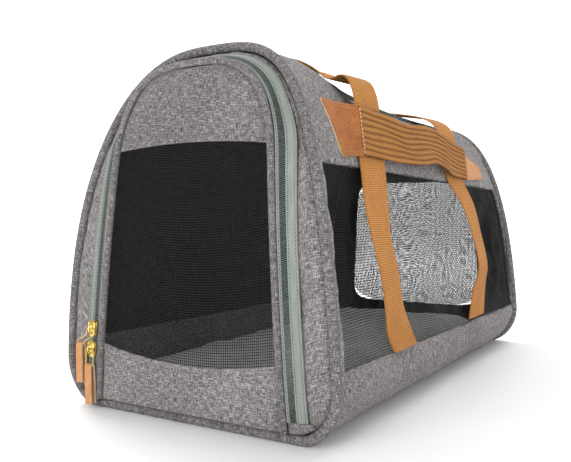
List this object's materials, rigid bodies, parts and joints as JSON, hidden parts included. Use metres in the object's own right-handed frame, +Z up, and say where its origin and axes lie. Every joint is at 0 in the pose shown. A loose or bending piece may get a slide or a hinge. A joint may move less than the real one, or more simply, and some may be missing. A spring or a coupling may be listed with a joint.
{
  "type": "soft-sided pet carrier bag",
  "caption": "Soft arched pet carrier with a mesh front door on a zip, mesh side and rear windows, a zipped roof flap, webbing carrying loops and grip bands.",
  "frame": {"origin": "on the ground under the middle of the bag, midway between the two rings at floor level", "axes": "+Z up, -Y towards the door end, +X to the right of someone looking in at the door"},
  "size_m": [0.2968, 0.4778, 0.3129],
  "materials": {
    "grey_weave": "heathered plain weave, matt",
    "black_mesh": "open knitted mesh, coated",
    "black_lining": "smooth woven lining",
    "mat_fabric": "brushed pile",
    "tan_webbing": "ribbed woven webbing",
    "tan_leather": "pebbled grain, satin, pale cut edges",
    "sage_zip": "woven zip tape with a nylon coil",
    "dark_zip": "woven zip tape with a nylon coil",
    "brass": "polished plated",
    "board": "stiffening board",
    "spring_steel": "wire hoop"
  },
  "bodies": {
    "bag": {"base_board": "board", "base_mat": "mat_fabric", "bottom_panel": "grey_weave", "front_border": "grey_weave", "front_hoop": "spring_steel", "front_piping": "grey_weave", "front_zip_foot": "sage_zip", "front_zip_outer": "sage_zip", "grip_band_left": "tan_webbing", "grip_band_right": "tan_webbing", "lining_rear": "black_lining", "lining_roof": "black_lining", "patch_front_left": "tan_leather", "patch_front_right": "tan_leather", "patch_rear_left": "tan_leather", "patch_rear_right": "tan_leather", "rear_hoop": "spring_steel", "rear_mesh": "black_mesh", "rear_panel": "grey_weave", "rear_piping": "grey_weave", "roof_panel": "grey_weave", "side_band_left": "grey_weave", "side_band_right": "grey_weave", "side_mesh": "black_mesh", "side_panel": "grey_weave", "side_strap_front_left": "tan_webbing", "side_strap_front_right": "tan_webbing", "side_strap_rear_left": "tan_webbing", "side_strap_rear_right": "tan_webbing", "top_flap": "grey_weave", "top_zip": "dark_zip"},
    "door": {"door_bottom_panel": "grey_weave", "door_mesh": "black_mesh", "door_piping": "grey_weave", "door_top_panel": "grey_weave", "door_zip_inner": "sage_zip"},
    "slider_upper": {"slider_upper": "brass"},
    "pull_upper": {"link_upper": "brass", "pull_upper": "tan_leather"},
    "slider_lower": {"slider_lower": "brass"},
    "pull_lower": {"link_lower": "brass", "pull_lower": "tan_leather"},
    "slider_roof": {"roof_slider": "brass"},
    "pull_roof": {"link_roof": "brass", "pull_roof": "tan_leather"},
    "loop_front": {"loop_front": "tan_webbing"},
    "loop_rear": {"loop_rear": "tan_webbing"}
  },
  "joints": [
    {"name": "door_hinge", "type": "hinge", "parent": "bag", "child": "door", "pos_m": [0, -0.23948, 0.0095], "axis": [1, 0, 0], "range_deg": [0, 90]},
    {"name": "slider_upper_run", "type": "slide", "parent": "bag", "child": "slider_upper", "axis": [0.0745, 0.0483, 0.9961], "range_m": [0, 0.08]},
    {"name": "pull_upper_swing", "type": "hinge", "parent": "slider_upper", "child": "pull_upper", "pos_m": [-0.10104, -0.24092, 0.07111], "axis": [-1, 0, 0], "range_deg": [0, 150]},
    {"name": "slider_lower_run", "type": "slide", "parent": "bag", "child": "slider_lower", "axis": [0.0754, 0.0266, 0.9968], "range_m": [-0.024, 0.003]},
    {"name": "pull_lower_swing", "type": "hinge", "parent": "slider_lower", "child": "pull_lower", "pos_m": [-0.1024, -0.24143, 0.0531], "axis": [-1, 0, 0], "range_deg": [0, 150]},
    {"name": "roof_slider_run", "type": "slide", "parent": "bag", "child": "slider_roof", "axis": [0, -0.9955, 0.0946], "range_m": [0, 0.028]},
    {"name": "pull_roof_lift", "type": "hinge", "parent": "slider_roof", "child": "pull_roof", "pos_m": [-0.07131, -0.00402, 0.27188], "axis": [0.8354, 0.0417, 0.548], "range_deg": [0, 120]},
    {"name": "loop_front_lift", "type": "slide", "parent": "bag", "child": "loop_front", "axis": [0, 0, 1], "range_m": [0, 0.01]},
    {"name": "loop_rear_lift", "type": "slide", "parent": "bag", "child": "loop_rear", "axis": [0, 0, 1], "range_m": [0, 0.01]}
  ]
}
